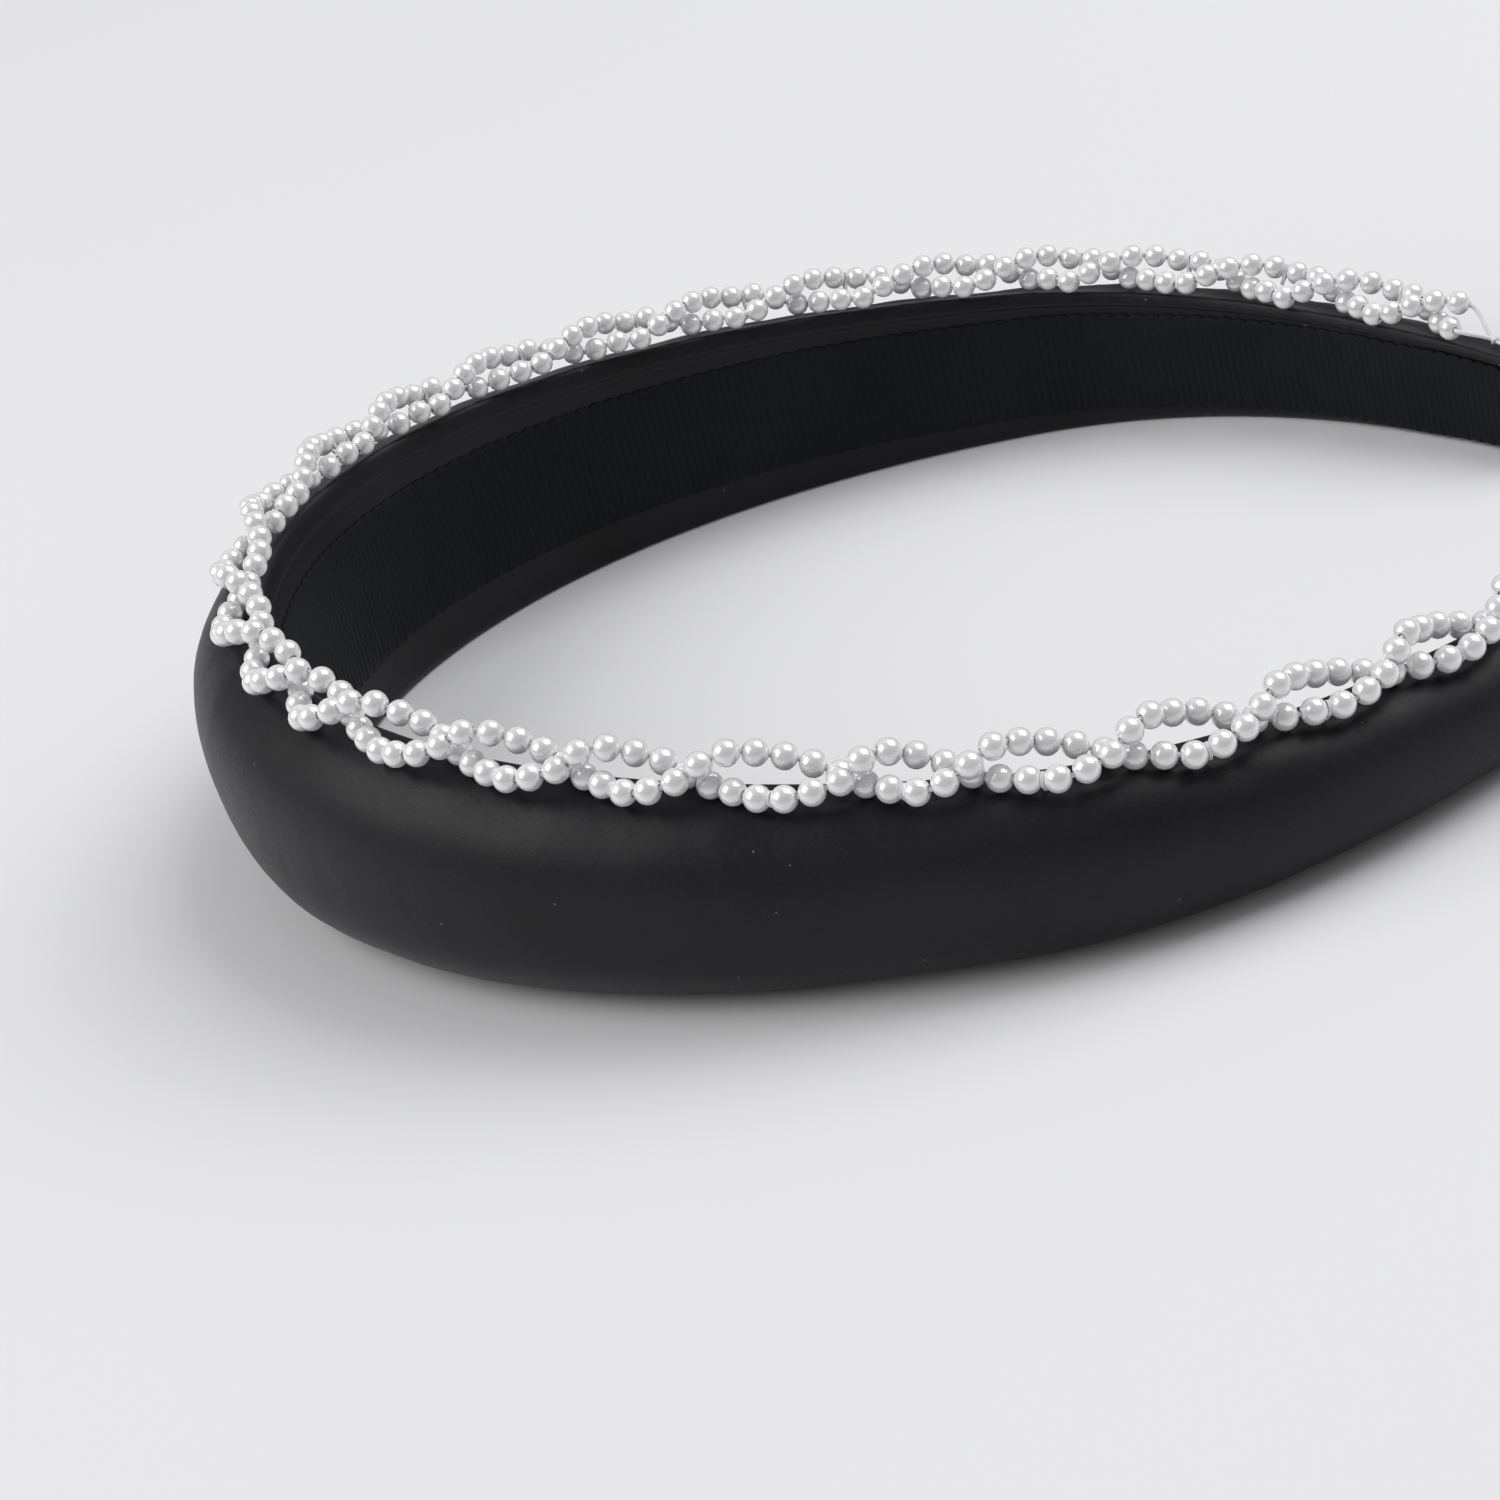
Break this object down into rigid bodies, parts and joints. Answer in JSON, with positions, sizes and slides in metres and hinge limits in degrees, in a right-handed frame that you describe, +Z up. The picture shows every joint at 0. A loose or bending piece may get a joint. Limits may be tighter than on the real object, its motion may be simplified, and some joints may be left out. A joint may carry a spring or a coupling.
{
  "type": "padded satin headband",
  "caption": "Open hoop headband with a padded black satin cover, a ribbed ribbon lining and a two-strand twisted bead trim along one edge",
  "frame": {"origin": "centre of the bounding box's base, on the plane that the hoop's lower edge rests on", "axes": "+X from the crown towards the open ends of the arms, +Y across from the left arm to the right arm, +Z up from the lower edge to the beaded edge"},
  "size_m": [0.1623, 0.1458, 0.0367],
  "materials": {
    "black_satin": "satin",
    "black_grosgrain": "ribbed matte",
    "core_plastic": "moulded",
    "sponge": "open-cell foam",
    "adhesive": "dried glue",
    "pearl": "pearl coating",
    "stringing_cord": "clear nylon",
    "sewing_thread": "twisted thread"
  },
  "bodies": {
    "left_half": {"hoop_core_left": "core_plastic", "foam_pad_left": "sponge", "satin_cover_left": "black_satin", "adhesive_film_left": "adhesive", "lining_ribbon_left": "black_grosgrain", "beads_a_left": "pearl", "beads_b_left": "pearl", "cord_a_left": "stringing_cord", "cord_b_left": "stringing_cord", "tacking_stitches_left": "sewing_thread", "end_knot_left": "stringing_cord"},
    "right_half": {"hoop_core_right": "core_plastic", "foam_pad_right": "sponge", "satin_cover_right": "black_satin", "adhesive_film_right": "adhesive", "lining_ribbon_right": "black_grosgrain", "beads_a_right": "pearl", "beads_b_right": "pearl", "cord_a_right": "stringing_cord", "cord_b_right": "stringing_cord", "tacking_stitches_right": "sewing_thread", "end_knot_right": "stringing_cord"}
  },
  "joints": [
    {"name": "band_flex", "type": "hinge", "parent": "left_half", "child": "right_half", "pos_m": [-0.08235, 0, 0.0157], "axis": [0, 0, 1], "range_deg": [-4, 24], "stiffness_Nm_per_rad": 0.8}
  ]
}
